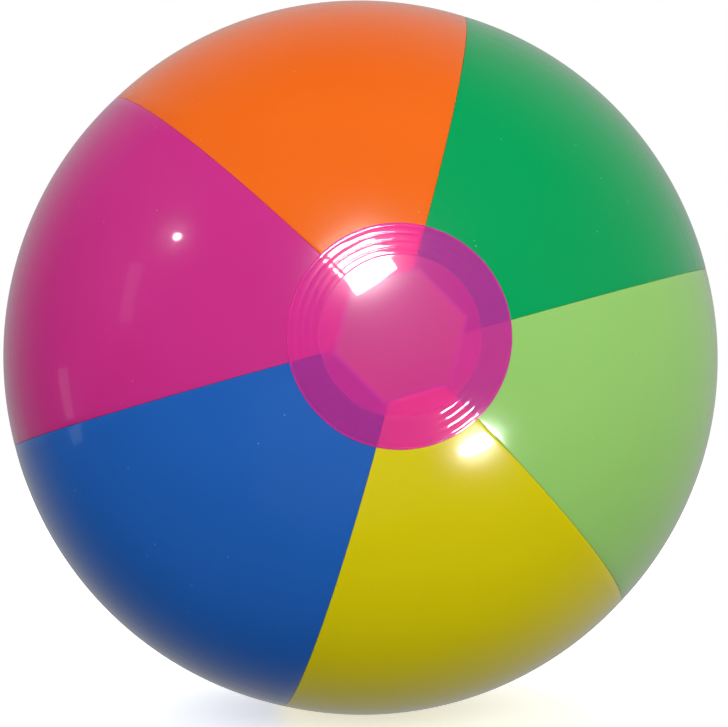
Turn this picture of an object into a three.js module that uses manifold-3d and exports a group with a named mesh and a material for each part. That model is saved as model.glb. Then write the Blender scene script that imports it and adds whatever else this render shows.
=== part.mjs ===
// Inflatable beach ball, blown up: six welded gores, two end caps and a push-in valve.
//
// Millimetres, +Z up, origin at the centre of the ball. The gores run along the Y axis from
// pole to pole. The plain cap faces -Y, and the cap with the valve faces +Y. Azimuths are
// counted round the Y axis from +X towards +Z, so they run anticlockwise seen from the front.
// "Depth" is the distance inwards along Y from the rear pole of the ball.

import * as THREE from 'three';
import { mergeVertices } from 'three/addons/utils/BufferGeometryUtils.js';
import Module from 'manifold-3d';

// ---------------------------------------------------------------- driving dimensions

const ballDiameter = 356;
const fitGap = 0.3;              // air left between pieces that touch on the real ball

// Film of the gores and the caps.
const filmThickness = 0.25;
const goreCount = 6;
const firstSeamAzimuth = 74.6;   // degrees; the ball may lie with any gore down
const hemDepth = 3;              // welded edge of each gore, turned in along its seams
const tipHoleAcrossFlats = 46.4; // the gores are cut off straight before the pole

// End caps, lapped over the gores and welded in concentric rings.
const capDiameter = 89;
const weldInnerDiameter = 63;
const weldRimMargin = 1;         // plain film outside the last weld ring
const weldRingCount = 4;
const weldRingHeight = 0.35;

// Valve: a flange welded inside the rear cap, a thin web and a stem with a stopper.
const valveOpeningDiameter = 23;
const flangeDiameter = 35;
const flangeThickness = 0.6;
const webThickness = 0.45;
const webShoulderShare = 0.7;    // how far out the web's bend stands, from collar to flange
const stemLength = 15;
const stemOuterDiameter = 10;
const stemBoreDiameter = 7;
const stemLipWidth = 0.5;        // how far the rolled lip stands out of the stem
const stemLipLength = 1.6;
const collarWidth = 1.2;         // how far the collar at the inner end stands out
const collarLength = 1.4;

// Stopper, its strap and the check flap.
const plugRecess = 0.3;          // outer face of the stopper below the pole
const plugDiscDiameter = 10.8;
const plugDiscThickness = 1.2;
const plugMouthClearance = 0.35; // radial, where the stopper enters the bore
const plugTipDiameter = 4.4;
const plugLength = 4;
const pullTabReach = 2.4;
const pullTabWidth = 4.2;
const strapWidth = 3.2;
const strapThickness = 0.7;
const strapWebClearance = 1.25;  // from the strap's bend to the top of the web
const flapThickness = 0.5;
const flapOverlap = 0.9;         // how far the flap covers the end of the stem

// Facets.
const goreColumns = 7;
const goreRows = 18;
const capSides = 24;
const capSteps = 3;
const valveSides = 24;

// ---------------------------------------------------------------- derived sizes

const capRadius = ballDiameter / 2;
const goreRadius = capRadius - filmThickness - fitGap;
const capRim = capDiameter / 2;
const openingRadius = valveOpeningDiameter / 2;
const stemRadius = stemOuterDiameter / 2;
const boreRadius = stemBoreDiameter / 2;
const collarRadius = stemRadius + collarWidth;
const discRadius = plugDiscDiameter / 2;
const discBottomDepth = plugRecess + plugDiscThickness;
const stemTopDepth = discBottomDepth + fitGap;
const stemEndDepth = stemTopDepth + stemLength;
const collarTopDepth = stemEndDepth - collarLength;
const flangeInnerRadius = openingRadius - fitGap;
const flangeTopRadius = capRadius - filmThickness - fitGap;   // sphere of the flange's outer face
const webTopRadius = flangeInnerRadius - fitGap;
const flapTopDepth = stemEndDepth + fitGap;
const flapRadius = boreRadius + flapOverlap;

const radians = THREE.MathUtils.degToRad;
const rearY = (depth) => capRadius - depth;

// ---------------------------------------------------------------- shared shapes

// Height of a sphere about the origin over a point at this distance from the Y axis.
function sphereHeight(sphereRadius, distance) {
  return Math.sqrt(sphereRadius ** 2 - distance ** 2);
}

// A solid turned about the Y axis from a profile of [distance, height] pairs.
function turned(profile, sides) {
  const points = profile.map(([distance, height]) => new THREE.Vector2(distance, height));
  return new THREE.LatheGeometry(points, sides);
}

// The same solid facing the other way along Y.
function flippedAlongY(geometry) {
  const half = geometry.clone();
  half.rotateX(Math.PI);
  return half;
}

// Skin between successive closed loops of equal length, closed by quads over both end loops.
function lofted(loops, endQuads) {
  const size = loops[0].length;
  const positions = loops.flat().flatMap((point) => point.toArray());
  const index = [];
  const quad = (a, b, c, d) => index.push(a, b, c, a, c, d);
  for (let row = 0; row + 1 < loops.length; row += 1) {
    for (let k = 0; k < size; k += 1) {
      const next = (k + 1) % size;
      quad((row + 1) * size + k, (row + 1) * size + next, row * size + next, row * size + k);
    }
  }
  const last = (loops.length - 1) * size;
  for (const [a, b, c, d] of endQuads) {
    quad(a, b, c, d);
    quad(last + d, last + c, last + b, last + a);
  }
  const geometry = new THREE.BufferGeometry();
  geometry.setAttribute('position', new THREE.Float32BufferAttribute(positions, 3));
  geometry.setIndex(index);
  geometry.computeVertexNormals();
  return geometry;
}

// ---------------------------------------------------------------- gores

// Point at a polar angle from the front pole and an azimuth, both in radians.
function spherePoint(radius, polar, azimuth) {
  const ring = radius * Math.sin(polar);
  const height = -radius * Math.cos(polar);
  return new THREE.Vector3(ring * Math.cos(azimuth), height, ring * Math.sin(azimuth));
}

// Polar angle of one row of a gore. The rows fan out from the straight cut at each tip.
function rowPolar(row, fromMiddle) {
  const cut = Math.asin(tipHoleAcrossFlats / 2 / (goreRadius * Math.cos(fromMiddle)));
  return THREE.MathUtils.lerp(cut, Math.PI - cut, row / goreRows);
}

// One closed cross-section of a gore: outer face, hem, inner face, hem.
function goreSection(row, middle, halfWidth) {
  const hemPolar = rowPolar(row, halfWidth);
  // Angle from the seam's plane to a point at this distance from that plane.
  const inset = (radius, distance) => Math.asin(distance / (radius * Math.sin(hemPolar)));
  const arc = (radius, distance) => {
    const edge = halfWidth - inset(radius, distance);
    return Array.from({ length: goreColumns + 1 }, (_, column) => {
      const fromMiddle = THREE.MathUtils.lerp(-edge, edge, column / goreColumns);
      return spherePoint(radius, rowPolar(row, fromMiddle), middle + fromMiddle);
    });
  };
  const hem = (side, distance) => {
    const radius = goreRadius - hemDepth;
    return spherePoint(radius, hemPolar, middle + side * (halfWidth - inset(radius, distance)));
  };
  const outerFace = fitGap / 2;
  const innerFace = outerFace + filmThickness;
  return [
    ...arc(goreRadius, outerFace),
    hem(1, outerFace),
    hem(1, innerFace),
    ...arc(goreRadius - filmThickness, innerFace).reverse(),
    hem(-1, innerFace),
    hem(-1, outerFace),
  ];
}

function gore(number) {
  const halfWidth = Math.PI / goreCount;
  const middle = radians(firstSeamAzimuth) + (2 * number + 1) * halfWidth;
  const loops = [];
  for (let row = 0; row <= goreRows; row += 1) {
    loops.push(goreSection(row, middle, halfWidth));
  }
  const face = goreColumns + 1;
  const inner = (column) => 2 * face + 1 - column;
  const endQuads = [];
  for (let column = 0; column < goreColumns; column += 1) {
    endQuads.push([column, column + 1, inner(column + 1), inner(column)]);
  }
  endQuads.push([face - 1, face, face + 1, inner(face - 1)]);
  endQuads.push([2 * face + 3, 0, inner(0), 2 * face + 2]);
  return lofted(loops, endQuads);
}

// ---------------------------------------------------------------- caps

// Outer face of a cap from one distance out to its rim, with the weld rings standing on it.
function capOuterProfile(from) {
  const weldFrom = weldInnerDiameter / 2;
  const weldTo = capRim - weldRimMargin;
  const pitch = (weldTo - weldFrom) / weldRingCount;
  const profile = [];
  for (let step = 0; step < capSteps; step += 1) {
    const distance = THREE.MathUtils.lerp(from, weldFrom, step / capSteps);
    profile.push([distance, sphereHeight(capRadius, distance)]);
  }
  for (let ring = 0; ring < weldRingCount; ring += 1) {
    const valley = weldFrom + ring * pitch;
    const crest = valley + pitch / 2;
    profile.push([valley, sphereHeight(capRadius, valley)]);
    profile.push([crest, sphereHeight(capRadius + weldRingHeight, crest)]);
  }
  profile.push([weldTo, sphereHeight(capRadius, weldTo)]);
  profile.push([capRim, sphereHeight(capRadius, capRim)]);
  return profile;
}

// Inner face of a cap from its rim in to one distance.
function capInnerProfile(to) {
  const steps = 2 * capSteps;
  const profile = [];
  for (let step = 0; step <= steps; step += 1) {
    const distance = THREE.MathUtils.lerp(capRim, to, step / steps);
    profile.push([distance, sphereHeight(capRadius - filmThickness, distance)]);
  }
  return profile;
}

function frontCap() {
  const profile = [...capInnerProfile(0).reverse(), ...capOuterProfile(0).reverse()];
  return flippedAlongY(turned(profile, capSides));
}

function rearCap() {
  const inner = capInnerProfile(openingRadius).reverse();
  const outer = capOuterProfile(openingRadius).reverse();
  return turned([...inner, ...outer, inner[0]], capSides);
}

// ---------------------------------------------------------------- valve

function valveFlange() {
  const outerRadius = flangeDiameter / 2;
  const bottom = flangeTopRadius - flangeThickness;
  return turned([
    [flangeInnerRadius, sphereHeight(bottom, flangeInnerRadius)],
    [outerRadius, sphereHeight(bottom, outerRadius)],
    [outerRadius, sphereHeight(flangeTopRadius, outerRadius)],
    [flangeInnerRadius, sphereHeight(flangeTopRadius, flangeInnerRadius)],
    [flangeInnerRadius, sphereHeight(bottom, flangeInnerRadius)],
  ], valveSides);
}

// Thin sleeve that lets the stem be pushed in, from the flange down to the stem's collar.
function valveWeb() {
  const top = sphereHeight(flangeTopRadius, flangeInnerRadius);
  const bottom = rearY(collarTopDepth + collarLength / 2);
  const bottomRadius = collarRadius + fitGap + webThickness;
  const shoulder = top - (flangeInnerRadius - collarRadius) / 2;
  const outer = [
    [bottomRadius, bottom],
    [THREE.MathUtils.lerp(bottomRadius, webTopRadius, webShoulderShare), shoulder],
    [webTopRadius, top],
  ];
  const inner = outer.map(([distance, height]) => [distance - webThickness, height]).reverse();
  return turned([...outer, ...inner, outer[0]], valveSides);
}

function valveStem() {
  const lipRadius = stemRadius + stemLipWidth;
  const lipEnd = stemTopDepth + stemLipLength;
  return turned([
    [boreRadius, rearY(stemEndDepth)],
    [collarRadius, rearY(stemEndDepth)],
    [collarRadius, rearY(collarTopDepth)],
    [stemRadius, rearY(collarTopDepth)],
    [stemRadius, rearY(lipEnd)],
    [lipRadius, rearY(lipEnd - stemLipWidth)],
    [lipRadius, rearY(stemTopDepth)],
    [boreRadius, rearY(stemTopDepth)],
    [boreRadius, rearY(stemEndDepth)],
  ], valveSides);
}

// ---------------------------------------------------------------- stopper, strap and flap

const wasm = await Module();
wasm.setup();

function toSolid(geometry) {
  const bare = geometry.clone();
  bare.deleteAttribute('normal');
  bare.deleteAttribute('uv');
  const merged = mergeVertices(bare);
  return new wasm.Manifold(new wasm.Mesh({
    numProp: 3,
    vertProperties: new Float32Array(merged.attributes.position.array),
    triVerts: new Uint32Array(merged.index.array),
  }));
}

function toGeometry(solid) {
  const mesh = solid.getMesh();
  const geometry = new THREE.BufferGeometry();
  geometry.setAttribute('position', new THREE.BufferAttribute(mesh.vertProperties, 3));
  geometry.setIndex(new THREE.BufferAttribute(mesh.triVerts, 1));
  geometry.computeVertexNormals();
  return geometry;
}

// Tapered stopper under a flat disc, so that its tip clears the bore as it swings out.
function stopper() {
  const mouthRadius = boreRadius - plugMouthClearance;
  const bottom = discBottomDepth + plugLength;
  return turned([
    [0, rearY(bottom)],
    [plugTipDiameter / 2, rearY(bottom)],
    [mouthRadius, rearY(stemTopDepth)],
    [mouthRadius, rearY(discBottomDepth)],
    [discRadius, rearY(discBottomDepth)],
    [discRadius, rearY(plugRecess)],
    [0, rearY(plugRecess)],
  ], valveSides);
}

// Tongue on the side away from the strap, for a fingernail.
function pullTab() {
  const length = discRadius + pullTabReach;
  const thickness = plugDiscThickness / 2;
  const tab = new THREE.BoxGeometry(pullTabWidth, thickness, length);
  tab.translate(0, rearY(plugRecess + plugDiscThickness / 2), length / 2);
  return tab;
}

function valvePlug() {
  return toGeometry(toSolid(stopper()).add(toSolid(pullTab())));
}

// Hairpin ribbon from the stem's lip, round a bend inside the web, to the disc's edge.
// The stopper swings out about the centre of the bend.
function plugStrap() {
  const upper = plugRecess + plugDiscThickness / 2;
  const lower = stemTopDepth + stemLipLength / 2;
  const middle = (upper + lower) / 2;
  const outerReach = (lower - upper + strapThickness) / 2;
  const innerReach = (lower - upper - strapThickness) / 2;
  const bend = webTopRadius - webThickness - strapWebClearance - outerReach;
  const upperStart = discRadius + fitGap;
  const lowerStart = stemRadius + stemLipWidth + fitGap;
  const ribbon = new THREE.Shape();
  ribbon.moveTo(upperStart, middle - outerReach);
  ribbon.lineTo(bend, middle - outerReach);
  ribbon.absarc(bend, middle, outerReach, -Math.PI / 2, Math.PI / 2, false);
  ribbon.lineTo(lowerStart, middle + outerReach);
  ribbon.lineTo(lowerStart, middle + innerReach);
  ribbon.lineTo(bend, middle + innerReach);
  ribbon.absarc(bend, middle, innerReach, Math.PI / 2, -Math.PI / 2, true);
  ribbon.lineTo(upperStart, middle - innerReach);
  ribbon.closePath();
  const strap = new THREE.ExtrudeGeometry(ribbon, {
    depth: strapWidth,
    bevelEnabled: false,
    curveSegments: 8,
  });
  // The outline's x is the distance below the axis, and its y is the depth.
  const place = new THREE.Matrix4().makeBasis(
    new THREE.Vector3(0, 0, -1),
    new THREE.Vector3(0, -1, 0),
    new THREE.Vector3(-1, 0, 0),
  );
  place.setPosition(strapWidth / 2, capRadius, 0);
  return strap.applyMatrix4(place);
}

// Soft disc that closes the inner end of the stem, hinged along its top edge.
function checkFlap() {
  const bottom = flapTopDepth + flapThickness;
  return turned([
    [0, rearY(bottom)],
    [flapRadius, rearY(bottom)],
    [flapRadius, rearY(flapTopDepth)],
    [0, rearY(flapTopDepth)],
  ], valveSides);
}

// ---------------------------------------------------------------- assembly

const goreNodes = [
  ['panel_orange', 0xf47216],
  ['panel_magenta', 0xcc2d86],
  ['panel_blue', 0x1f5ca8],
  ['panel_yellow', 0xdccb08],
  ['panel_lime', 0x9ad06c],
  ['panel_green', 0x05a45a],
];
const capColour = 0xd8438f;
const valveColour = 0xf1efe9;

function part(name, geometry, colour, roughness) {
  const material = new THREE.MeshStandardMaterial({ color: colour, roughness, metalness: 0 });
  const mesh = new THREE.Mesh(geometry, material);
  mesh.name = name;
  return mesh;
}

const skin = new THREE.Group();
goreNodes.forEach(([name, colour], number) => {
  skin.add(part(name, gore(number), colour, 0.25));
});
skin.add(part('front_cap', frontCap(), capColour, 0.2));
skin.add(part('rear_cap', rearCap(), capColour, 0.2));

const valve = new THREE.Group();
valve.add(part('valve_flange', valveFlange(), valveColour, 0.4));
valve.add(part('valve_web', valveWeb(), valveColour, 0.4));
valve.add(part('valve_stem', valveStem(), valveColour, 0.4));
valve.add(part('valve_plug', valvePlug(), valveColour, 0.4));
valve.add(part('plug_strap', plugStrap(), valveColour, 0.4));
valve.add(part('check_flap', checkFlap(), valveColour, 0.5));

const beachBall = new THREE.Group();
beachBall.add(skin, valve);

export default beachBall;
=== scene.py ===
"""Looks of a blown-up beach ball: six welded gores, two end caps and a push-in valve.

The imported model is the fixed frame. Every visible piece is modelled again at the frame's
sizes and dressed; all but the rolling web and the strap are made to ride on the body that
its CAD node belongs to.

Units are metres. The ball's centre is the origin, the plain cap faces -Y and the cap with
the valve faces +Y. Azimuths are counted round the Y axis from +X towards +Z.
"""

from __future__ import annotations

import logging
import math
from dataclasses import dataclass, field
from enum import Enum
from typing import Callable, Iterable, Sequence

import bmesh
import bpy
from bmesh.types import BMesh, BMFace, BMVert
from bpy.types import Material, Node, NodeSocket, NodeTree, Object
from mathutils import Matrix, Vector, noise


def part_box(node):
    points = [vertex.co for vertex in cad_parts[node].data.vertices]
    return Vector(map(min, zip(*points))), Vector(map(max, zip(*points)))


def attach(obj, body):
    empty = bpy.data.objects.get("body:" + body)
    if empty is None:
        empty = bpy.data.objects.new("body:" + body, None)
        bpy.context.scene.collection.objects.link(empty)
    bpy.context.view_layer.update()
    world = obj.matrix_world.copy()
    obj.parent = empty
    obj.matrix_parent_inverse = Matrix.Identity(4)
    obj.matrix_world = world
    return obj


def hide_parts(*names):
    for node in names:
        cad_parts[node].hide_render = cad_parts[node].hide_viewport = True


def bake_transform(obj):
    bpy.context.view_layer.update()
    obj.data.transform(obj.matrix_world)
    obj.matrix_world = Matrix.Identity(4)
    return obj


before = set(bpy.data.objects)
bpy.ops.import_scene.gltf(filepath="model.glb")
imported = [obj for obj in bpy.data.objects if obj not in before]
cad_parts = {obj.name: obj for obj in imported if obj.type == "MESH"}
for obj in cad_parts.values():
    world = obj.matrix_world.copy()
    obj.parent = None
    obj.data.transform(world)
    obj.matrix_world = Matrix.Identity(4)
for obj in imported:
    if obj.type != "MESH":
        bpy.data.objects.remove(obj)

LOG = logging.getLogger("beach_ball")
MM = 0.001
FILM = 0.25 * MM  # thickness of the film
LAP = 0.05 * MM  # from the gores to the caps that lie over them
WELD_GAP = 0.3 * MM  # from one film to the next at a weld
TIP_DISTANCE = 23.2 * MM  # from the axis to the straight cut of a gore's tip
VALVE_OPENING = 11.5 * MM  # radius of the rear cap's hole
SHARP_ANGLE = 50.0  # degrees between two faces that aren't shaded as one
CLOSE = 1e-6
TINY = 1e-7
POLAR_AXIS = (0.0, 1.0, 0.0)
ORIGIN = (0.0, 0.0, 0.0)


# ---------------- colour and nodes


def linear(hex_code: str) -> tuple[float, float, float, float]:
    """Turns an sRGB hex colour into linear RGBA.

    Args:
        hex_code: Six hex digits, such as "F76C15".

    Returns:
        Red, green and blue in linear light, and an alpha of 1.
    """
    channels = (int(hex_code[start:start + 2], 16) / 255 for start in (0, 2, 4))
    red, green, blue = (
        c / 12.92 if c <= 0.04045 else ((c + 0.055) / 1.055) ** 2.4 for c in channels
    )
    return red, green, blue, 1.0


def per_metre(millimetres: float) -> float:
    """Texture scale that repeats a pattern once in this many millimetres."""
    return 1000.0 / millimetres


def add_node(tree: NodeTree, kind: str, inputs: dict | None = None, **settings: object) -> Node:
    """Adds a node, sets it up and links it.

    Args:
        tree: The node tree of a material or of the world.
        kind: The node's type, such as "ShaderNodeBump".
        inputs: Input name or number to a value, or to the output socket that feeds it.
        settings: The node's own properties.

    Returns:
        The new node.
    """
    node = tree.nodes.new(kind)
    for name, value in settings.items():
        setattr(node, name, value)
    for key, value in (inputs or {}).items():
        if isinstance(value, NodeSocket):
            tree.links.new(value, node.inputs[key])
        else:
            node.inputs[key].default_value = value
    return node


# ---------------- finishes


@dataclass(frozen=True)
class Relief:
    """Unevenness of a film: the size of its waves and how high they stand, in millimetres."""

    wave_mm: float
    height_mm: float
    detail: float = 1.0

    def bump(
        self, tree: NodeTree, place: NodeSocket, under: NodeSocket | None = None
    ) -> NodeSocket:
        """Adds the relief to a material.

        Args:
            tree: The material's node tree.
            place: Object coordinates.
            under: The normal of a coarser relief that this one lies on.

        Returns:
            The bumped normal.
        """
        waves = add_node(
            tree,
            "ShaderNodeTexNoise",
            {"Vector": place, "Scale": per_metre(self.wave_mm), "Detail": self.detail},
        )
        inputs = {
            "Strength": 1.0,
            "Distance": self.height_mm * MM,
            "Height": waves.outputs["Fac"],
        }
        if under is not None:
            inputs["Normal"] = under
        return add_node(tree, "ShaderNodeBump", inputs).outputs["Normal"]


@dataclass(frozen=True)
class GlossVinyl:
    """Calendered flexible PVC film, pigmented through. It gives the eye a flat, saturated
    colour under a sharp wet gloss, with a softer glow round each highlight from the film's
    fine grain, slow waves in what it mirrors, and a few specks of dust."""

    name: str
    pigment: str
    thin_pigment: str
    ior: float = 1.53
    grain_roughness: float = 0.22
    grain_level: float = 0.25
    gloss_roughness: float = 0.045
    gloss_weight: float = 0.55
    cloud_mm: float = 55.0
    speck_mm: float = 9.0
    speck_share: float = 0.035
    speck_core: float = 0.6
    speck_cover: float = 0.3
    dust: str = "E9E4E2"
    smear_mm: float = 24.0
    smear_spread: float = 0.15
    slack: Relief = Relief(38.0, 0.16)
    skin: Relief = Relief(2.4, 0.0012, 2.0)

    def clouded_pigment(self, tree: NodeTree, place: NodeSocket) -> NodeSocket:
        """Pigment that drifts a little from place to place, with specks of dust on it.

        Args:
            tree: The material's node tree.
            place: Object coordinates.

        Returns:
            The colour.
        """
        clouds = add_node(
            tree,
            "ShaderNodeTexNoise",
            {"Vector": place, "Scale": per_metre(self.cloud_mm), "Detail": 3.0},
        )
        drift = add_node(
            tree,
            "ShaderNodeMix",
            {
                "Factor": clouds.outputs["Fac"],
                "A": linear(self.pigment),
                "B": linear(self.thin_pigment),
            },
            data_type="RGBA",
        )
        cells = add_node(
            tree,
            "ShaderNodeTexVoronoi",
            {"Vector": place, "Scale": per_metre(self.speck_mm), "Randomness": 1.0},
        )
        speck = add_node(
            tree,
            "ShaderNodeMapRange",
            {
                "Value": cells.outputs["Distance"],
                "From Min": self.speck_share * self.speck_core,
                "From Max": self.speck_share,
                "To Min": self.speck_cover,
                "To Max": 0.0,
            },
        )
        return add_node(
            tree,
            "ShaderNodeMix",
            {
                "Factor": speck.outputs["Result"],
                "A": drift.outputs["Result"],
                "B": linear(self.dust),
            },
            data_type="RGBA",
        ).outputs["Result"]

    def shader(self, tree: NodeTree) -> tuple[Node, NodeSocket]:
        """Adds the film's shader.

        Args:
            tree: The material's node tree.

        Returns:
            The Principled node, and the normal of the film's relief.
        """
        place = add_node(tree, "ShaderNodeTexCoord").outputs["Object"]
        normal = self.skin.bump(tree, place, self.slack.bump(tree, place))
        smears = add_node(
            tree,
            "ShaderNodeTexNoise",
            {"Vector": place, "Scale": per_metre(self.smear_mm), "Detail": 3.0},
        )
        roughness = add_node(
            tree,
            "ShaderNodeMapRange",
            {
                "Value": smears.outputs["Fac"],
                "To Min": self.grain_roughness * (1 - self.smear_spread),
                "To Max": self.grain_roughness * (1 + self.smear_spread),
            },
        )
        vinyl = add_node(
            tree,
            "ShaderNodeBsdfPrincipled",
            {
                "Base Color": self.clouded_pigment(tree, place),
                "Roughness": roughness.outputs["Result"],
                "IOR": self.ior,
                "Specular IOR Level": self.grain_level,
                "Coat Weight": self.gloss_weight,
                "Coat Roughness": self.gloss_roughness,
                "Coat IOR": self.ior,
                "Normal": normal,
                "Coat Normal": normal,
            },
        )
        return vinyl, normal

    def material(self) -> Material:
        """Makes the material.

        Returns:
            The material.
        """
        made, tree = blank_material(self.name)
        vinyl, _ = self.shader(tree)
        add_node(tree, "ShaderNodeOutputMaterial", {"Surface": vinyl.outputs["BSDF"]})
        return made


@dataclass(frozen=True)
class TintedFilm(GlossVinyl):
    """The same film with a dye and little pigment. It gives the eye a pink that the gores
    show through: strongly where the weld has wetted the two films together, and less where
    air between them scatters the light."""

    dye: str = "FFACB0"
    backed_pigment: str = "FF4CDC"
    welded_pigment: str = "FF5CFF"
    clear_over_hole: float = 0.3
    clear_when_backed: float = 0.66
    clear_when_welded: float = 0.77

    def attribute(self, tree: NodeTree, name: str) -> NodeSocket:
        """Reads one of the cap's own attributes."""
        return add_node(
            tree, "ShaderNodeAttribute", attribute_name=name, attribute_type="GEOMETRY"
        ).outputs["Fac"]

    def clouded_pigment(self, tree: NodeTree, place: NodeSocket) -> NodeSocket:
        """Pigment that looks paler over the gores and bluer where it is welded to them.

        Args:
            tree: The material's node tree.
            place: Object coordinates.

        Returns:
            The colour.
        """
        colour = super().clouded_pigment(tree, place)
        for name, pigment in (("backing", self.backed_pigment), ("weld", self.welded_pigment)):
            colour = add_node(
                tree,
                "ShaderNodeMix",
                {"Factor": self.attribute(tree, name), "A": colour, "B": linear(pigment)},
                data_type="RGBA",
            ).outputs["Result"]
        return colour

    def clearness(self, tree: NodeTree) -> NodeSocket:
        """Adds the share of light that one face of the film lets straight through.

        Args:
            tree: The material's node tree.

        Returns:
            The share: least over the hole, more over a gore and most in the weld.
        """
        clear = self.clear_over_hole
        for name, most in (("backing", self.clear_when_backed), ("weld", self.clear_when_welded)):
            clear = add_node(
                tree,
                "ShaderNodeMapRange",
                {"Value": self.attribute(tree, name), "To Min": clear, "To Max": most},
            ).outputs["Result"]
        return clear

    def material(self) -> Material:
        """Makes the material.

        Returns:
            The material.
        """
        made, tree = blank_material(self.name)
        vinyl, normal = self.shader(tree)
        through = add_node(tree, "ShaderNodeBsdfTransparent", {"Color": linear(self.dye)})
        body = add_node(
            tree,
            "ShaderNodeMixShader",
            {0: self.clearness(tree), 1: vinyl.outputs["BSDF"], 2: through.outputs["BSDF"]},
        )
        mirror = add_node(
            tree,
            "ShaderNodeBsdfGlossy",
            {"Color": linear("FFFFFF"), "Roughness": self.gloss_roughness, "Normal": normal},
        )
        edge = add_node(tree, "ShaderNodeFresnel", {"IOR": self.ior, "Normal": normal})
        wet = add_node(
            tree,
            "ShaderNodeMixShader",
            {0: edge.outputs["Fac"], 1: body.outputs["Shader"], 2: mirror.outputs["BSDF"]},
        )
        add_node(tree, "ShaderNodeOutputMaterial", {"Surface": wet.outputs["Shader"]})
        return made


def blank_material(name: str) -> tuple[Material, NodeTree]:
    """Makes a material with an empty node tree.

    Args:
        name: The material's name.

    Returns:
        The material and its node tree.
    """
    made = bpy.data.materials.new(name)
    made.use_nodes = True
    made.node_tree.nodes.clear()
    return made, made.node_tree


# ---------------- mesh helpers


def polar_place(ring: float, height: float, azimuth: float) -> Vector:
    """Point at a distance from the Y axis, a place along it and an azimuth in radians."""
    return Vector((ring * math.cos(azimuth), height, ring * math.sin(azimuth)))


def spun_patch(
    radius: float, polar_from: float, polar_to: float, rows: int, width: float, columns: int
) -> BMesh:
    """Spins one vertex to a meridian, and the meridian round the Y axis to a patch of sphere.

    Args:
        radius: Radius of the sphere.
        polar_from: Polar angle of the first row, from the front pole, in radians.
        polar_to: Polar angle of the last row.
        rows: Faces along the meridian.
        width: Angle round the Y axis, in radians; a full turn closes on itself.
        columns: Faces round the Y axis.

    Returns:
        The patch, from azimuth 0 to the width.
    """
    bm = bmesh.new()
    tip = bm.verts.new((radius * math.sin(polar_from), -radius * math.cos(polar_from), 0.0))
    bmesh.ops.spin(
        bm, geom=[tip], cent=ORIGIN, axis=(0, 0, 1), angle=polar_to - polar_from, steps=rows
    )
    bmesh.ops.spin(
        bm,
        geom=bm.verts[:] + bm.edges[:],
        cent=ORIGIN,
        axis=(0, -1, 0),
        angle=width,
        steps=columns,
        use_merge=math.isclose(width, math.tau),
    )
    bmesh.ops.remove_doubles(bm, verts=bm.verts, dist=TINY)
    return bm


def face_outwards(bm: BMesh, along: Callable[[Vector], Vector]) -> None:
    """Makes the faces of an open sheet agree, and turns them so that they point outwards.

    Args:
        bm: The sheet.
        along: Gives the outward direction at a point of it.
    """
    bmesh.ops.recalc_face_normals(bm, faces=bm.faces)
    total = sum(f.calc_area() * f.normal.dot(along(f.calc_center_median())) for f in bm.faces)
    if total < 0:
        bmesh.ops.reverse_faces(bm, faces=bm.faces)


def turned(profile: Sequence[tuple[float, float]], sides: int, round_off: float) -> BMesh:
    """Turns a closed profile round the Y axis and rounds its corners.

    Args:
        profile: Distance from the axis and place along it, in order round the outline.
        sides: Faces in a full turn.
        round_off: Width of the rounding at each corner.

    Returns:
        The closed solid.
    """
    bm = bmesh.new()
    verts = [bm.verts.new((ring, height, 0.0)) for ring, height in profile]
    edges = [bm.edges.new(pair) for pair in zip(verts, verts[1:] + verts[:1])]
    bmesh.ops.spin(
        bm,
        geom=verts + edges,
        cent=ORIGIN,
        axis=POLAR_AXIS,
        angle=math.tau,
        steps=sides,
        use_merge=True,
    )
    bmesh.ops.remove_doubles(bm, verts=bm.verts, dist=CLOSE)
    bmesh.ops.dissolve_degenerate(bm, edges=bm.edges, dist=TINY)
    stray = [e for e in bm.edges if not e.link_faces]
    bmesh.ops.delete(bm, geom=stray, context="EDGES")
    bmesh.ops.recalc_face_normals(bm, faces=bm.faces)
    round_corners(bm, round_off)
    return bm


def round_corners(bm: BMesh, width: float, corner: float = 35.0) -> None:
    """Rounds every edge of a solid that is sharper than an angle.

    Args:
        bm: The solid.
        width: Width of the rounding.
        corner: Least angle between two faces, in degrees.
    """
    sharp = [e for e in bm.edges if e.calc_face_angle(0.0) > math.radians(corner)]
    bmesh.ops.bevel(
        bm,
        geom=sharp,
        offset=width,
        segments=3,
        profile=0.5,
        affect="EDGES",
        material=-1,
        clamp_overlap=True,
    )


def finished(name: str, bm: BMesh, material: Material) -> Object:
    """Turns a bmesh into a smooth-shaded object with its material.

    Args:
        name: The piece's name.
        bm: Its mesh, which is freed.
        material: Its material.

    Returns:
        The object, at the origin.
    """
    mesh = bpy.data.meshes.new(name)
    bm.to_mesh(mesh)
    bm.free()
    mesh.materials.append(material)
    mesh.polygons.foreach_set("use_smooth", [True] * len(mesh.polygons))
    mesh.set_sharp_from_angle(angle=math.radians(SHARP_ANGLE))
    made = bpy.data.objects.new(name, mesh)
    bpy.context.scene.collection.objects.link(made)
    return made


def give_thickness(piece: Object, thickness: float) -> None:
    """Gives a sheet its thickness, inwards from the face that shows.

    Args:
        piece: The sheet.
        thickness: Its thickness.
    """
    wall = piece.modifiers.new("film", "SOLIDIFY")
    wall.thickness = thickness
    wall.offset = -1.0
    wall.use_even_offset = True


def stand_for(node: str) -> None:
    """Hides the CAD node that a piece takes the place of."""
    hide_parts(node)


# ---------------- gores


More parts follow.
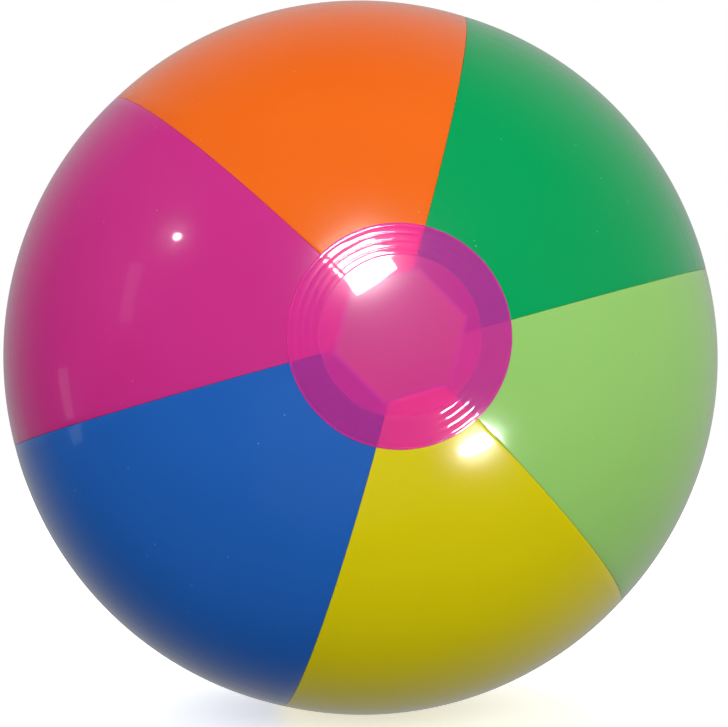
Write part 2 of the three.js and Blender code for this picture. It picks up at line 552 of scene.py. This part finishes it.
class GoreColour(Enum):
    """The gores in order of azimuth: name, pigment, the same pigment where the film is
    stretched thin, and how the welder set the seam that the gore starts at, to the nearest
    half: its turn off the even place in degrees, and by how many millimetres it misses
    the axis."""

    ORANGE = ("orange", "F4680F", "F8701A", -1.0, 2.5)
    MAGENTA = ("magenta", "CC2A86", "D0318C", 0.5, -0.5)
    BLUE = ("blue", "1C5EB6", "2264BE", 0.5, -1.0)
    YELLOW = ("yellow", "DCCC00", "E2D200", 1.5, 1.5)
    LIME = ("lime", "96CE6A", "9CD272", 1.5, -2.0)
    GREEN = ("green", "00A258", "00A75C", 1.5, -6.0)

    def __init__(
        self, label: str, pigment: str, thin_pigment: str, turn: float, miss_mm: float
    ) -> None:
        """Names the parts of each member."""
        self.label, self.pigment, self.thin_pigment = label, pigment, thin_pigment
        self.turn, self.miss_mm = turn, miss_mm

    @property
    def after(self) -> GoreColour:
        """The next gore round the ball."""
        order = list(GoreColour)
        return order[(order.index(self) + 1) % len(order)]

    @property
    def node(self) -> str:
        """Name of the gore's CAD node."""
        return f"panel_{self.label}"

    @property
    def slot(self) -> str:
        """Name of the gore's material slot in the record."""
        return f"vinyl_{self.label}"


def middle_azimuth(node: str) -> float:
    """Finds which way the middle of a gore's CAD node lies.

    Args:
        node: The node's name.

    Returns:
        Its azimuth, in radians.
    """
    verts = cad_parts[node].data.vertices
    centre = sum((v.co for v in verts), Vector()) / len(verts)
    return math.atan2(centre.z, centre.x)


@dataclass
class Seams:
    """Where the six seams run round the ball."""

    least_ring: float = 15.0 * MM
    places: dict[GoreColour, float] = field(default_factory=dict)

    def __post_init__(self) -> None:
        """Takes the even places from the frame and adds each weld's turn."""
        half = math.pi / len(GoreColour)
        for colour in GoreColour:
            even = middle_azimuth(colour.node) - half
            self.places[colour] = even + math.radians(colour.turn)

    def start(self, colour: GoreColour, ring: float) -> float:
        """Azimuth, in radians, of the seam that a gore starts at, on a ring of this radius."""
        return self.places[colour] + colour.miss_mm * MM / max(ring, self.least_ring)

    def span(self, colour: GoreColour, ring: float) -> tuple[float, float]:
        """Azimuths of the two seams of a gore on a ring, the second past the first."""
        start = self.start(colour, ring)
        return start, start + (self.start(colour.after, ring) - start) % math.tau

    def middle(self, colour: GoreColour) -> float:
        """Azimuth of the middle of a gore at its widest."""
        start = self.places[colour]
        return start + (self.places[colour.after] - start) % math.tau / 2

    def distance(self, ring: float, azimuth: float) -> float:
        """Distance round a ring to the nearest seam."""
        return min(
            ring * abs((azimuth - self.start(colour, ring) + math.pi) % math.tau - math.pi)
            for colour in GoreColour
        )

    def past_tip(self, ring: float, azimuth: float, tip_distance: float) -> float:
        """How far a point lies outside the straight cut of the tip of the gore it is over."""
        return max(
            ring * math.cos(azimuth - self.middle(colour)) for colour in GoreColour
        ) - tip_distance


@dataclass
class Gores:
    """The six coloured gores, each a film with its edges rolled in and welded along the
    seams, and its tips cut off straight under the caps."""

    seams: Seams
    radius: float
    film: float = FILM
    seam_gap: float = 0.01 * MM
    seam_roll: float = 0.3 * MM
    hem_depth: float = 3.0 * MM
    tip_distance: float = TIP_DISTANCE
    tip_margin: float = 0.05 * MM
    tip_merge: float = 0.02 * MM
    patch_start: float = 0.9  # share of the tip's polar angle, so that the cut crosses the patch
    belly: float = 0.5 * MM
    pucker: float = 0.11 * MM
    pucker_wave: float = 11.0 * MM
    pucker_reach: float = 6.0 * MM
    rows: int = 220
    columns: int = 44
    roll_columns: int = 4

    def roll(self, column: int) -> tuple[float, float]:
        """How far a column stands from its seam's plane, and how far it drops below the film.

        Args:
            column: Number of the column, counted from the seam.

        Returns:
            The distance and the drop.
        """
        turn = min(column / self.roll_columns, 1.0) * math.pi / 2
        return (
            self.seam_gap + self.seam_roll * (1 - math.cos(turn)),
            self.seam_roll * (1 - math.sin(turn)),
        )

    def puckered(self, along: float, from_seam: float, seed: float) -> float:
        """Height of the small puckers that a weld draws into the film beside it."""
        wave = noise.noise(Vector((along / self.pucker_wave, seed, 0.0)))
        return self.pucker * wave * math.exp(-from_seam / self.pucker_reach)

    def shape(self, bm: BMesh, colour: GoreColour, width: float) -> None:
        """Moves the vertices of an even patch so that its edges roll off into the seams.

        Args:
            bm: The patch, from azimuth 0 to its width.
            colour: Which gore it is.
            width: Width of the patch, in radians.
        """
        last = self.columns
        seed = 10.0 * list(GoreColour).index(colour)
        for v in bm.verts:
            ring = math.hypot(v.co.x, v.co.z)
            polar = math.atan2(ring, -v.co.y)
            start, end = self.seams.span(colour, ring)
            share = math.atan2(v.co.z, v.co.x) / width
            column = round(share * last)
            from_edge = min(column, last - column)
            distance, drop = self.roll(from_edge)
            inset = math.asin(distance / ring)
            if from_edge <= self.roll_columns:
                azimuth = start + inset if column < last / 2 else end - inset
            else:
                even = (column - self.roll_columns) / (last - 2 * self.roll_columns)
                azimuth = start + inset + even * (end - start - 2 * inset)
            from_seam = ring * min(azimuth - start, end - azimuth)
            side = 0.0 if column < last / 2 else 5.0
            swell = self.belly * math.sin(math.pi * share) * math.sin(polar) ** 2
            lift = self.puckered(polar * self.radius, from_seam, seed + side)
            out = self.radius - drop + swell + lift
            v.co = polar_place(out * math.sin(polar), -out * math.cos(polar), azimuth)

    def cut_tips(self, bm: BMesh, middle: float) -> None:
        """Cuts both tips off straight, at right angles to the gore's middle.

        Args:
            bm: The gore's sheet.
            middle: Azimuth of the gore's middle, in radians.
        """
        outward = polar_place(1.0, 0.0, middle)
        bmesh.ops.bisect_plane(
            bm,
            geom=bm.verts[:] + bm.edges[:] + bm.faces[:],
            dist=CLOSE,
            plane_co=outward * self.tip_distance,
            plane_no=outward,
            clear_inner=True,
        )
        bmesh.ops.remove_doubles(bm, verts=bm.verts, dist=self.tip_merge)

    def turn_in_hems(self, bm: BMesh, middle: float) -> None:
        """Extrudes the two long edges inwards, as the welded hems.

        Args:
            bm: The gore's sheet, with its tips cut off.
            middle: Azimuth of the gore's middle, in radians.
        """
        outward = polar_place(1.0, 0.0, middle)
        edges = [
            e
            for e in bm.edges
            if e.is_boundary
            and any(v.co.dot(outward) > self.tip_distance + self.tip_margin for v in e.verts)
        ]
        made = bmesh.ops.extrude_edge_only(bm, edges=edges)["geom"]
        for v in (g for g in made if isinstance(g, BMVert)):
            v.co -= v.co.normalized() * self.hem_depth

    def build(self, colour: GoreColour) -> Object:
        """Builds and dresses one gore.

        Args:
            colour: Which gore.

        Returns:
            The piece.
        """
        width = math.tau / len(GoreColour)
        middle = self.seams.middle(colour)
        polar_from = math.asin(self.tip_distance / self.radius) * self.patch_start
        polar_to = math.pi - polar_from
        bm = spun_patch(self.radius, polar_from, polar_to, self.rows, width, self.columns)
        self.shape(bm, colour, width)
        self.cut_tips(bm, middle)
        self.turn_in_hems(bm, middle)
        face_outwards(bm, lambda point: point.normalized())
        finish = GlossVinyl(
            f"calendered {colour.label} pvc film", colour.pigment, colour.thin_pigment
        )
        piece = finished(f"gore_{colour.label}", bm, finish.material())
        give_thickness(piece, self.film)
        stand_for(colour.node)
        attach(piece, "ball")
        return piece


# ---------------- caps


class Pole(Enum):
    """The two ends of the ball, by the sign of Y."""

    FRONT = -1
    REAR = 1


@dataclass
class EndCap:
    """A round cap of tinted film lapped over the tips of the gores and welded to them in
    rings. The rear one has a hole for the valve."""

    pole: Pole
    seams: Seams
    radius: float
    rim: float
    opening: float = 0.0
    film: float = FILM
    weld_from: float = 31.5 * MM
    weld_margin: float = 1.0 * MM
    loose_lip: float = 0.35 * MM
    tip_distance: float = TIP_DISTANCE
    tip_softness: float = 1.6 * MM
    ring_count: int = 4
    ring_height: float = 0.13 * MM
    groove_width: float = 0.5 * MM
    wander: float = 0.3 * MM
    wander_turns: float = 1.6
    wander_across: float = 60.0
    bead_mean: float = 0.8
    bead_spread: float = 0.4
    bead_turns: float = 3.1
    bead_across: float = 400.0
    lift_mean: float = 0.4
    lift_turns: float = 9.0
    weld_softness: float = 0.5 * MM
    seam_dip: float = 0.03 * MM
    seam_dip_width: float = 0.45 * MM
    slack: float = 0.03 * MM
    slack_wave: float = 13.0 * MM
    edge_lift: float = 0.1 * MM
    loose_rows: int = 40
    weld_rows: int = 66
    sides: int = 360

    @property
    def weld_to(self) -> float:
        """Radius of the outer edge of the welded band."""
        return self.rim - self.weld_margin

    @property
    def name(self) -> str:
        """Name of the cap's CAD node, which the piece takes too."""
        return f"{self.pole.name.lower()}_cap"

    def ring_of(self, row: int) -> float:
        """Finds the radius of a row of vertices, which stand closer together in the weld.

        Args:
            row: Number of the row, counted from the middle.

        Returns:
            The radius.
        """
        if row <= self.loose_rows:
            return self.opening + (self.weld_from - self.opening) * row / self.loose_rows
        past = row - self.loose_rows
        return self.weld_from + (self.rim - self.weld_from) * past / self.weld_rows

    def welded(self, ring: float) -> float:
        """Tells how far the film is welded at a radius.

        Args:
            ring: Distance from the axis.

        Returns:
            From 0 where it is loose to 1 where it is welded, with a soft edge.
        """
        soft = self.weld_softness
        inside = min(max((ring - self.weld_from) / soft, 0.0), 1.0)
        outside = min(max((self.rim - self.loose_lip - ring) / soft, 0.0), 1.0)
        return min(inside, outside)

    def backed(self, ring: float, azimuth: float) -> float:
        """Tells how far a gore lies behind the film.

        Args:
            ring: Distance from the axis.
            azimuth: Angle round it, in radians.

        Returns:
            From 0 over the hole between the tips to 1 over a gore.
        """
        past = self.seams.past_tip(ring, azimuth, self.tip_distance) / self.tip_softness
        share = min(max(0.5 + past / 2, 0.0), 1.0)
        return share * share * (3 - 2 * share)

    def relief(self, ring: float, azimuth: float) -> float:
        """Adds up the beads between the grooves that the welding tool pressed, the dips over
        the seams, the film's slack and the lift of its rim.

        Args:
            ring: Distance from the axis.
            azimuth: Angle round it, in radians.

        Returns:
            Height of the cap's face above its sphere.
        """
        around = Vector((math.cos(azimuth), math.sin(azimuth), self.pole.value))
        strayed = ring + self.wander * noise.noise(
            around * self.wander_turns + Vector((ring * self.wander_across, 0.0, 0.0))
        )
        pitch = (self.weld_to - self.weld_from) / self.ring_count
        share = ((strayed - self.weld_from) / pitch) % 1.0
        to_groove = pitch * min(share, 1.0 - share)
        bead = 1.0 - math.exp(-((to_groove / self.groove_width) ** 2))
        uneven = self.bead_mean + self.bead_spread * noise.noise(
            around * self.bead_turns + Vector((0.0, 0.0, ring * self.bead_across))
        )
        height = self.ring_height * bead * uneven * self.welded(strayed)
        beside = self.seams.distance(ring, azimuth) / self.seam_dip_width
        height -= self.seam_dip * math.exp(-beside * beside) * self.welded(ring)
        loose = polar_place(ring, 0.0, azimuth) / self.slack_wave
        height += self.slack * noise.noise(loose)
        if ring > self.weld_to:
            height += self.edge_lift * (self.lift_mean + noise.noise(around * self.lift_turns))
        return height

    def build(self, film: Material) -> Object:
        """Builds and dresses the cap.

        Args:
            film: The tinted film's material.

        Returns:
            The piece.
        """
        rows = self.loose_rows + self.weld_rows
        polar_from = math.asin(self.opening / self.radius)
        polar_to = math.asin(self.rim / self.radius)
        bm = spun_patch(self.radius, polar_from, polar_to, rows, math.tau, self.sides)
        weld = bm.verts.layers.float.new("weld")
        backing = bm.verts.layers.float.new("backing")
        for v in bm.verts:
            polar = math.atan2(math.hypot(v.co.x, v.co.z), -v.co.y)
            ring = self.ring_of(round((polar - polar_from) / (polar_to - polar_from) * rows))
            azimuth = math.atan2(v.co.z, v.co.x)
            out = self.radius + self.relief(ring, azimuth)
            v[weld] = self.welded(ring)
            v[backing] = self.backed(ring, azimuth)
            scale = out / self.radius
            height = math.sqrt(self.radius ** 2 - ring ** 2)
            v.co = polar_place(ring * scale, self.pole.value * height * scale, azimuth)
        face_outwards(bm, lambda point: point.normalized())
        piece = finished(self.name + "_film", bm, film)
        piece.visible_shadow = False  # its dye scatters light onwards to the gores
        give_thickness(piece, self.film)
        stand_for(self.name)
        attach(piece, "ball")
        return piece


# ---------------- valve


@dataclass
class Valve:
    """The push-in valve of soft white vinyl: flange, rolling web, stem, stopper on a strap,
    and a check flap. Places along Y come from the frame's nodes."""

    flange_radius: float
    vinyl: Material
    flange_thickness: float = 0.6 * MM
    bore: float = 3.5 * MM
    stem: float = 5.0 * MM
    lip: float = 5.5 * MM
    lip_length: float = 1.6 * MM
    collar_length: float = 1.4 * MM
    web: float = 0.45 * MM
    web_shoulder: float = 0.7
    disc: float = 5.4 * MM
    disc_thickness: float = 1.2 * MM
    disc_dish: float = 0.18 * MM
    mouth_clearance: float = 0.35 * MM
    plug_tip: float = 2.2 * MM
    tab_width: float = 4.2 * MM
    strap_width: float = 3.2 * MM
    strap_thickness: float = 0.7 * MM
    strap_bend: float = 8.0 * MM
    strap_steps: int = 4
    bend_steps: int = 16
    gap: float = WELD_GAP
    crease: float = 0.04 * MM
    lip_flare: float = 0.5 * MM
    disc_rim: float = 0.9 * MM
    dish_edge: float = 1.4 * MM
    tongue_root: float = 0.5  # share of the disc's radius
    tongue_corner: float = 1.5 * MM
    sleeve_round: float = 0.12 * MM
    stem_round: float = 0.22 * MM
    soft_round: float = 0.16 * MM
    tongue_round: float = 0.14 * MM
    flap_round: float = 0.1 * MM
    sides: int = 96

    def flange(self) -> Object:
        """Builds the ring that is welded inside the rear cap.

        Returns:
            The piece.
        """
        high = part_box("valve_flange")[1]
        inner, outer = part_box("valve_web")[1].x + self.crease, high.x
        top = self.flange_radius
        bottom = top - self.flange_thickness
        profile = [
            (inner, math.sqrt(bottom ** 2 - inner ** 2)),
            (outer, math.sqrt(bottom ** 2 - outer ** 2)),
            (outer, math.sqrt(top ** 2 - outer ** 2)),
            (inner, math.sqrt(top ** 2 - inner ** 2)),
        ]
        piece = finished("flange_ring", turned(profile, self.sides, self.sleeve_round), self.vinyl)
        stand_for("valve_flange")
        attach(piece, "ball")
        return piece

    def web_sleeve(self) -> Object:
        """Builds the thin sleeve that rolls as the stem is pushed in.

        Returns:
            The piece.
        """
        low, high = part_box("valve_web")
        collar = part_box("valve_stem")[1].x
        foot, rim = collar + self.crease + self.web, high.x
        shoulder_at = high.y - (rim + self.gap - collar) / 2
        shoulder = foot + (rim - foot) * self.web_shoulder
        outer = [(foot, low.y), (shoulder, shoulder_at), (rim, high.y)]
        inner = [(ring - self.web, height) for ring, height in reversed(outer)]
        sleeve = turned(outer + inner, self.sides, self.sleeve_round)
        piece = finished("rolling_web", sleeve, self.vinyl)
        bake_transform(piece)
        stand_for("valve_web")
        return piece

    def stem_tube(self) -> Object:
        """Builds the stem with its rolled lip and its collar.

        Returns:
            The piece.
        """
        low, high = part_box("valve_stem")
        collar = high.x
        lip_end = high.y - self.lip_length
        collar_top = low.y + self.collar_length
        profile = [
            (self.bore, low.y),
            (collar, low.y),
            (collar, collar_top),
            (self.stem, collar_top),
            (self.stem, lip_end),
            (self.lip, lip_end + self.lip_flare),
            (self.lip, high.y),
            (self.bore, high.y),
        ]
        piece = finished("stem_tube", turned(profile, self.sides, self.stem_round), self.vinyl)
        stand_for("valve_stem")
        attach(piece, "stem")
        return piece

    def tongue(self) -> BMesh:
        """Builds the stopper's bevelled tongue, for a fingernail.

        Returns:
            Its mesh.
        """
        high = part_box("valve_plug")[1]
        thickness = self.disc_thickness / 2
        bm = bmesh.new()
        bmesh.ops.create_cube(bm, size=1.0)
        root = self.disc * self.tongue_root
        reach = high.z - root
        bmesh.ops.scale(bm, vec=(self.tab_width, thickness, reach), verts=bm.verts)
        middle = Vector((0, high.y - self.disc_thickness / 2, root + reach / 2))
        bmesh.ops.translate(bm, vec=middle, verts=bm.verts)
        far = [
            e
            for e in bm.edges
            if abs(e.verts[0].co.x - e.verts[1].co.x) < TINY
            and abs(e.verts[0].co.z - high.z) < CLOSE
            and abs(e.verts[1].co.z - high.z) < CLOSE
        ]
        bmesh.ops.bevel(
            bm,
            geom=far,
            offset=self.tongue_corner,
            segments=8,
            profile=0.5,
            affect="EDGES",
            material=-1,
        )
        round_corners(bm, self.tongue_round)
        return bm

    def stopper(self) -> Object:
        """Builds the stopper: a dished disc on a tapered plug, with its tongue.

        Returns:
            The piece.
        """
        low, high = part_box("valve_plug")
        under = high.y - self.disc_thickness
        mouth = self.bore - self.mouth_clearance
        profile = [
            (0.0, low.y),
            (self.plug_tip, low.y),
            (mouth, under - self.gap),
            (mouth, under),
            (self.disc, under),
            (self.disc, high.y),
            (self.disc - self.disc_rim, high.y),
            (self.disc - self.dish_edge, high.y - self.disc_dish),
            (0.0, high.y - self.disc_dish),
        ]
        piece = finished("stopper_plug", turned(profile, self.sides, self.soft_round), self.vinyl)
        tab = finished("stopper_tongue", self.tongue(), self.vinyl)
        join_solids(piece, tab)
        stand_for("valve_plug")
        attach(piece, "plug")
        return piece

    def strap(self) -> Object:
        """Builds the hairpin strap from the stem's lip to the stopper.

        Returns:
            The piece.
        """
        low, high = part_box("plug_strap")
        upper = high.y - self.strap_thickness / 2
        lower = low.y + self.strap_thickness / 2
        middle = (upper + lower) / 2
        bm = bmesh.new()
        start = Vector((0, upper, -(self.disc + self.crease)))
        bmesh.ops.create_grid(bm, x_segments=1, y_segments=1, size=0.5)
        bmesh.ops.scale(bm, vec=(self.strap_width, self.strap_thickness, 1.0), verts=bm.verts)
        bmesh.ops.translate(bm, vec=start, verts=bm.verts)
        section = bm.faces[:]
        section = self.drawn_out(bm, section, -self.strap_bend - start.z)
        bent = bmesh.ops.spin(
            bm,
            geom=section,
            cent=(0, middle, -self.strap_bend),
            axis=(-1, 0, 0),
            angle=math.pi,
            steps=self.bend_steps,
        )["geom_last"]
        section = [g for g in bent if isinstance(g, BMFace)]
        self.drawn_out(bm, section, self.strap_bend - self.lip - self.crease)
        bmesh.ops.remove_doubles(bm, verts=bm.verts, dist=CLOSE)
        inner = [f for f in bm.faces if all(len(e.link_faces) > 2 for e in f.edges)]
        bmesh.ops.delete(bm, geom=inner, context="FACES_ONLY")
        bmesh.ops.recalc_face_normals(bm, faces=bm.faces)
        round_corners(bm, self.soft_round, corner=60.0)
        piece = finished("stopper_strap", bm, self.vinyl)
        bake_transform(piece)
        stand_for("plug_strap")
        return piece

    def drawn_out(self, bm: BMesh, section: list[BMFace], by: float) -> list[BMFace]:
        """Extrudes a section of the strap along Z.

        Args:
            bm: The strap's mesh.
            section: The faces at its end so far.
            by: How far.

        Returns:
            The faces at the new end.
        """
        step = Vector((0, 0, by / self.strap_steps))
        for _ in range(self.strap_steps):
            made = bmesh.ops.extrude_face_region(bm, geom=section)["geom"]
            verts = [g for g in made if isinstance(g, BMVert)]
            bmesh.ops.translate(bm, vec=step, verts=verts)
            section = [g for g in made if isinstance(g, BMFace)]
        return section

    def flap(self) -> Object:
        """Builds the check flap, a soft disc that closes the inner end of the stem.

        Returns:
            The piece.
        """
        low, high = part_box("check_flap")
        profile = [(0.0, low.y), (high.x, low.y), (high.x, high.y), (0.0, high.y)]
        piece = finished("flap_disc", turned(profile, self.sides, self.flap_round), self.vinyl)
        stand_for("check_flap")
        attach(piece, "flap")
        return piece


def join_solids(piece: Object, other: Object) -> None:
    """Joins a second solid to a piece's mesh and removes the second object.

    Args:
        piece: The piece.
        other: The solid that becomes part of it.
    """
    union = piece.modifiers.new("union", "BOOLEAN")
    union.operation = "UNION"
    union.solver = "EXACT"
    union.object = other
    bpy.context.view_layer.update()
    evaluated = piece.evaluated_get(bpy.context.evaluated_depsgraph_get())
    joined = bpy.data.meshes.new_from_object(evaluated)
    piece.modifiers.remove(union)
    piece.data = joined
    bpy.data.objects.remove(other)


# ---------------- studio


class LampRole(Enum):
    """What a lamp does: light the pigment, or be seen in the gloss."""

    LIGHTING = "lighting"
    MIRRORED = "mirrored"


@dataclass
class Studio:
    """The pale floor, the lights and the camera."""

    ball_radius: float
    camera_distance: float = 4.0
    camera_azimuth: float = -5.13
    camera_elevation: float = -2.86
    lens_mm: float = 68.4
    sensor_mm: float = 36.0
    shift: tuple[float, float] = (0.0048, -0.008)
    floor_reach: float = 9.0
    floor_roughness: float = 0.9
    floor_glow: float = 0.55
    lighting_distance: float = 2.6
    mirrored_distance: float = 1.5
    pane_distance: float = 1.8
    pale_way: tuple[float, float, float] = (0.25, 0.93, 0.15)
    pale_from: float = 0.05
    pale_most: float = 0.44
    scattered_low: float = 0.28
    scattered_high: float = 0.62

    def direction(self, azimuth: float, elevation: float) -> Vector:
        """Unit vector from the ball: azimuth 0 is the front and grows towards +X, in degrees."""
        a, e = math.radians(azimuth), math.radians(elevation)
        return Vector((math.sin(a) * math.cos(e), -math.cos(a) * math.cos(e), math.sin(e)))

    def camera(self) -> None:
        """Sets the camera a little left of the front cap and just below the ball's middle."""
        data = bpy.data.cameras.new("camera")
        data.lens, data.sensor_width = self.lens_mm, self.sensor_mm
        data.shift_x, data.shift_y = self.shift
        data.dof.use_dof = False
        back = self.direction(self.camera_azimuth, self.camera_elevation)
        eye = bpy.data.objects.new("camera", data)
        bpy.context.scene.collection.objects.link(eye)
        eye.location = back * self.ball_radius * self.camera_distance
        eye.rotation_mode = "QUATERNION"
        eye.rotation_quaternion = (-back).to_track_quat("-Z", "Y")
        bpy.context.scene.camera = eye

    def lamp(
        self,
        name: str,
        place: Vector,
        target: Vector,
        size: tuple[float, float],
        radiance: float,
        role: LampRole,
        shape: str = "RECTANGLE",
        roll: float = 0.0,
        cone: float = 180.0,
    ) -> None:
        """Adds a flat lamp.

        Args:
            name: Its name.
            place: Where it stands.
            target: What it faces.
            size: Its width and height.
            radiance: How bright its face is.
            role: Whether it lights the pigment or is what the gloss mirrors.
            shape: RECTANGLE or ELLIPSE.
            roll: Turn about its own axis, in degrees.
            cone: Full angle of the light that leaves it, in degrees.
        """
        data = bpy.data.lights.new(name, "AREA")
        data.shape = shape
        data.size, data.size_y = size
        data.energy = radiance * math.pi * size[0] * size[1]
        data.spread = math.radians(cone)
        made = bpy.data.objects.new(name, data)
        bpy.context.scene.collection.objects.link(made)
        made.location = place
        made.rotation_euler = (target - place).to_track_quat("-Z", "Y").to_euler()
        made.rotation_euler.rotate_axis("Z", math.radians(roll))
        made.visible_camera = False
        made.visible_glossy = role is LampRole.MIRRORED
        made.visible_diffuse = role is LampRole.LIGHTING

    def lamps(self) -> None:
        """Sets the lamps that light the pigment, and those that the gloss mirrors."""
        middle = Vector()
        front = Vector((0, -self.ball_radius, 0))
        mirrored = LampRole.MIRRORED
        for name, azimuth, elevation, side, radiance in (
            ("key", 2, 16, 1.6, 4.2),
            ("fill", -14, -28, 2.0, 1.9),
            ("back", 195, 35, 2.4, 2.3),
            ("right", 85, 12, 2.4, 1.0),
            ("left", -88, 28, 2.0, 0.8),
        ):
            place = self.direction(azimuth, elevation) * self.lighting_distance
            self.lamp(name, place, middle, (side, side), radiance, LampRole.LIGHTING)
        softbox = front + self.direction(-5.0, 26.3) * self.mirrored_distance
        self.lamp("softbox", softbox, front, (0.39, 0.395), 40.0, mirrored, roll=36.0)
        bulb = self.direction(-64.0, 28.6) * self.mirrored_distance
        self.lamp("bulb", bulb, middle, (0.06, 0.05), 60.0, mirrored, "ELLIPSE")
        bar = Vector((0.154, -0.356, -0.151))
        shine = Vector((0.03, -0.17, -0.042))
        self.lamp("bar", bar, shine, (0.07, 0.028), 9.0, mirrored, "ELLIPSE", 35.0, 60.0)
        for azimuth, elevation in ((-103, -9), (-76, 14)):
            pane = self.direction(azimuth, elevation) * self.pane_distance
            self.lamp("pane", pane, middle, (0.16, 0.45), 0.45, mirrored)

    def world(self) -> None:
        """Makes the room: white to the camera, dark before the front cap and pale behind it
        for what the gloss mirrors, and brighter above than below for what the pigment
        scatters."""
        world = bpy.data.worlds.new("studio room")
        bpy.context.scene.world = world
        world.use_nodes = True
        tree = world.node_tree
        tree.nodes.clear()
        way = add_node(tree, "ShaderNodeTexCoord").outputs["Generated"]
        height = add_node(tree, "ShaderNodeSeparateXYZ", {"Vector": way}).outputs["Z"]
        pale_side = add_node(
            tree, "ShaderNodeVectorMath", {0: way, 1: self.pale_way}, operation="DOT_PRODUCT"
        )
        mirrored = add_node(
            tree,
            "ShaderNodeMapRange",
            {
                "Value": pale_side.outputs["Value"],
                "From Min": self.pale_from,
                "To Max": self.pale_most,
            },
            interpolation_type="SMOOTHSTEP",
        )
        scattered = add_node(
            tree,
            "ShaderNodeMapRange",
            {
                "Value": height,
                "From Min": -1.0,
                "To Min": self.scattered_low,
                "To Max": self.scattered_high,
            },
        )
        path = add_node(tree, "ShaderNodeLightPath")
        light = add_node(
            tree,
            "ShaderNodeMix",
            {
                "Factor": path.outputs["Is Glossy Ray"],
                "A": scattered.outputs["Result"],
                "B": mirrored.outputs["Result"],
            },
        )
        seen = add_node(
            tree,
            "ShaderNodeMix",
            {"Factor": path.outputs["Is Camera Ray"], "A": light.outputs["Result"], "B": 1.0},
        )
        room = add_node(
            tree,
            "ShaderNodeBackground",
            {"Color": linear("FFFFFF"), "Strength": seen.outputs["Result"]},
        )
        add_node(tree, "ShaderNodeOutputWorld", {"Surface": room.outputs["Background"]})

    def floor(self) -> None:
        """Lays the floor under the ball."""
        bm = bmesh.new()
        bmesh.ops.create_circle(bm, cap_ends=True, segments=96, radius=self.floor_reach)
        bmesh.ops.translate(bm, vec=(0, 0, -self.ball_radius), verts=bm.verts)
        made, tree = blank_material("white painted board")
        board = add_node(
            tree,
            "ShaderNodeBsdfPrincipled",
            {
                "Base Color": linear("F4F4F4"),
                "Roughness": self.floor_roughness,
                "Emission Color": linear("FFFFFF"),
                "Emission Strength": self.floor_glow,
            },
        )
        add_node(tree, "ShaderNodeOutputMaterial", {"Surface": board.outputs["BSDF"]})
        piece = finished("floor", bm, made)
        piece.visible_glossy = False
        piece.visible_diffuse = False

    def build(self) -> None:
        """Sets the whole studio up."""
        bpy.context.scene.view_settings.view_transform = "Standard"
        self.camera()
        self.world()
        self.lamps()
        self.floor()


# ---------------- assembly


def report(pieces: Iterable[Object]) -> None:
    """Logs each piece with its number of faces."""
    for piece in pieces:
        LOG.info("%s: %d faces", piece.name, len(piece.data.polygons))


def main() -> None:
    """Builds the ball and its studio."""
    logging.basicConfig(level=logging.INFO, format="%(message)s")
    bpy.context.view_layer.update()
    cap_low, cap_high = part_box("front_cap")
    ball_radius, rim = -cap_low.y, cap_high.x
    Studio(ball_radius).build()

    seams = Seams()
    gores = Gores(seams, ball_radius - FILM - LAP)
    report(gores.build(colour) for colour in GoreColour)

    tinted = TintedFilm(
        "tinted pink pvc film", "DE44A0", "E248A6", grain_level=0.5, gloss_weight=0.0, speck_mm=14.0
    ).material()
    front = EndCap(Pole.FRONT, seams, ball_radius, rim)
    rear = EndCap(Pole.REAR, seams, ball_radius, rim, VALVE_OPENING)
    report([front.build(tinted), rear.build(tinted)])

    white = GlossVinyl(
        "moulded white pvc", "EFEDE6", "F6F4EF", grain_roughness=0.38, gloss_weight=0.2
    ).material()
    valve = Valve(ball_radius - FILM - WELD_GAP, white)
    report(
        [
            valve.flange(),
            valve.web_sleeve(),
            valve.stem_tube(),
            valve.stopper(),
            valve.strap(),
            valve.flap(),
        ]
    )


if __name__ == "__main__":
    main()
